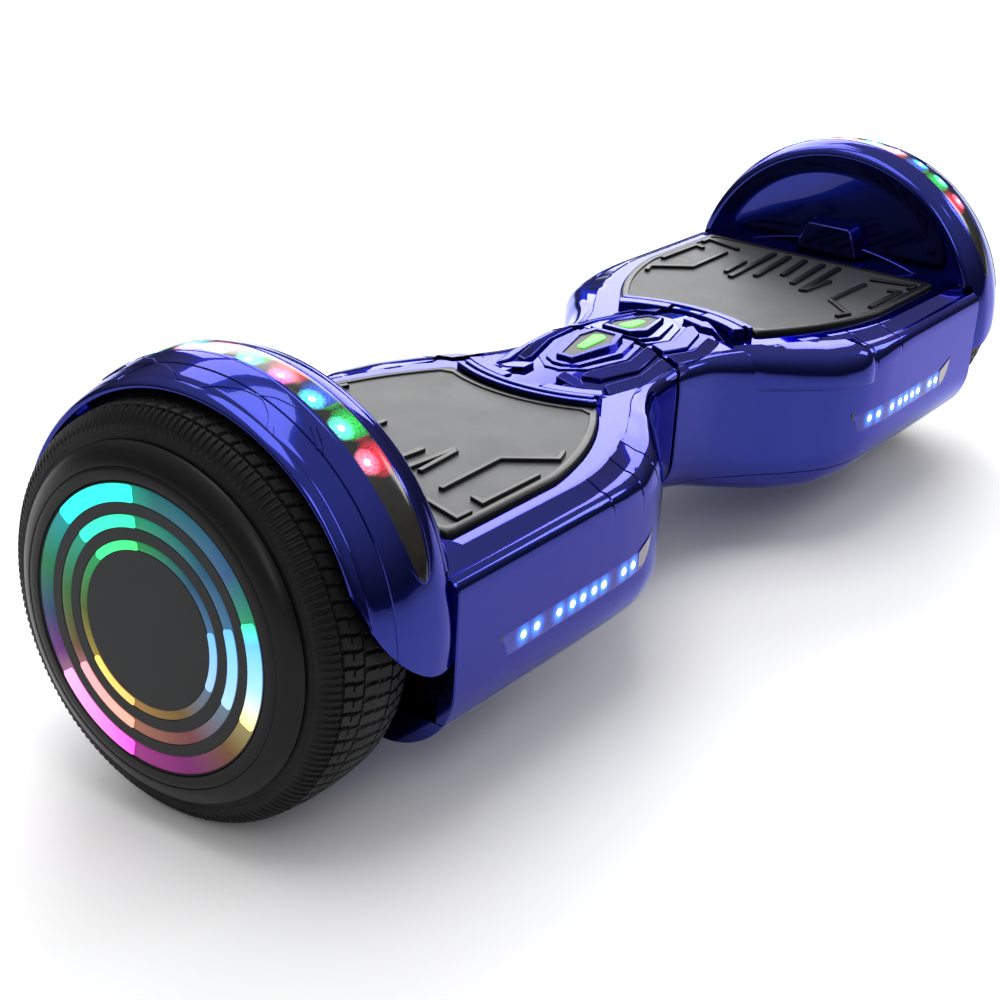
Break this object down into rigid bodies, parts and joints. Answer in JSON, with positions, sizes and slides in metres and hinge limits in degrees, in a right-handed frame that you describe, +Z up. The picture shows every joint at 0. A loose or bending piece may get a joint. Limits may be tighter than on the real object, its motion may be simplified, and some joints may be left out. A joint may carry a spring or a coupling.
{
  "type": "self-balancing hoverboard",
  "caption": "Self-balancing hoverboard in blue chrome: waisted body of tilting halves, black rubber foot pads, arched fenders with light strips, and lit hub-motor wheels.",
  "frame": {"origin": "On the floor, under the middle of the whole board.", "axes": "+X runs along the wheel axles towards the right half, +Y points to the back, where the charge socket is, and +Z is up. The headlights face -Y."},
  "size_m": [0.6028, 0.181, 0.1721],
  "materials": {
    "chrome_blue": "deep blue metallised chrome on ABS plastic",
    "smoked_lens": "smoked clear plastic",
    "led_strip": "white flexible strip with coloured lights",
    "light_lens": "blue tinted clear plastic",
    "circuit_board": "green solder mask",
    "status_window": "dark translucent plastic",
    "cast_aluminium": "as cast",
    "steel": "bright zinc",
    "black_steel": "black oxide",
    "lamination_steel": "stacked laminations",
    "copper": "enamelled copper wire",
    "mat_rubber": "matte moulded rubber",
    "black_plastic": "fine texture",
    "magnet": "nickel plated",
    "tyre_rubber": "matte",
    "hub_plastic": "satin black",
    "light_disc": "translucent, lit from behind in colours",
    "cable_sleeve": "braided sleeve",
    "bronze": "sintered bronze",
    "battery_wrap": "shrink wrap",
    "black_rubber": "soft moulded",
    "button_plastic": "silver"
  },
  "bodies": {
    "left_half": {"left_deck_shell": "chrome_blue", "left_base_shell": "chrome_blue", "left_fender": "chrome_blue", "left_fender_lens": "smoked_lens", "left_fender_leds": "led_strip", "left_light_lenses": "light_lens", "left_light_boards": "circuit_board", "left_status_window": "status_window", "left_gyro_board": "circuit_board", "left_chassis": "cast_aluminium", "left_axle_clamp": "cast_aluminium", "left_clamp_screws": "steel", "left_base_screws": "black_steel", "left_axle": "steel", "left_stator": "lamination_steel", "left_stator_coils": "copper", "pivot_tube": "steel", "centre_harness": "cable_sleeve", "control_board": "circuit_board", "pivot_ring": "steel"},
    "right_half": {"right_deck_shell": "chrome_blue", "right_base_shell": "chrome_blue", "right_fender": "chrome_blue", "right_fender_lens": "smoked_lens", "right_fender_leds": "led_strip", "right_light_lenses": "light_lens", "right_light_boards": "circuit_board", "right_status_window": "status_window", "right_gyro_board": "circuit_board", "right_chassis": "cast_aluminium", "right_axle_clamp": "cast_aluminium", "right_clamp_screws": "steel", "right_base_screws": "black_steel", "right_axle": "steel", "right_stator": "lamination_steel", "right_stator_coils": "copper", "pivot_bushes": "bronze", "battery_pack": "battery_wrap", "charge_socket": "black_plastic", "power_button_bezel": "black_plastic"},
    "left_pad": {"left_foot_pad": "mat_rubber", "left_pad_plungers": "black_plastic"},
    "right_pad": {"right_foot_pad": "mat_rubber", "right_pad_plungers": "black_plastic"},
    "left_wheel": {"left_motor_drum": "cast_aluminium", "left_motor_plate": "cast_aluminium", "left_magnets": "magnet", "left_wheel_bearings": "steel", "left_tyre": "tyre_rubber", "left_hub_cover": "hub_plastic", "left_light_disc": "light_disc"},
    "right_wheel": {"right_motor_drum": "cast_aluminium", "right_motor_plate": "cast_aluminium", "right_magnets": "magnet", "right_wheel_bearings": "steel", "right_tyre": "tyre_rubber", "right_hub_cover": "hub_plastic", "right_light_disc": "light_disc"},
    "charge_flap": {"charge_cap": "black_rubber"},
    "button": {"power_button": "button_plastic"}
  },
  "joints": [
    {"name": "centre_swivel", "type": "hinge", "parent": "left_half", "child": "right_half", "pos_m": [0, 0, 0.08], "axis": [1, 0, 0], "range_deg": [-12, 12]},
    {"name": "left_wheel_spin", "type": "hinge", "parent": "left_half", "child": "left_wheel", "pos_m": [-0.271, 0, 0.08], "axis": [1, 0, 0], "continuous": true},
    {"name": "right_wheel_spin", "type": "hinge", "parent": "right_half", "child": "right_wheel", "pos_m": [0.271, 0, 0.08], "axis": [1, 0, 0], "continuous": true},
    {"name": "left_pad_press", "type": "slide", "parent": "left_half", "child": "left_pad", "axis": [0, 0, 1], "range_m": [-0.002, 0], "stiffness_N_per_m": 4000, "springref_m": 0.002},
    {"name": "right_pad_press", "type": "slide", "parent": "right_half", "child": "right_pad", "axis": [0, 0, 1], "range_m": [-0.002, 0], "stiffness_N_per_m": 4000, "springref_m": 0.002},
    {"name": "power_button_press", "type": "slide", "parent": "right_half", "child": "button", "axis": [0, 1, 0], "range_m": [-0.0012, 0], "stiffness_N_per_m": 800, "springref_m": 0.001},
    {"name": "charge_flap_swing", "type": "hinge", "parent": "right_half", "child": "charge_flap", "pos_m": [0.19, 0.0897, 0.098], "axis": [1, 0, 0], "range_deg": [0, 150]}
  ]
}
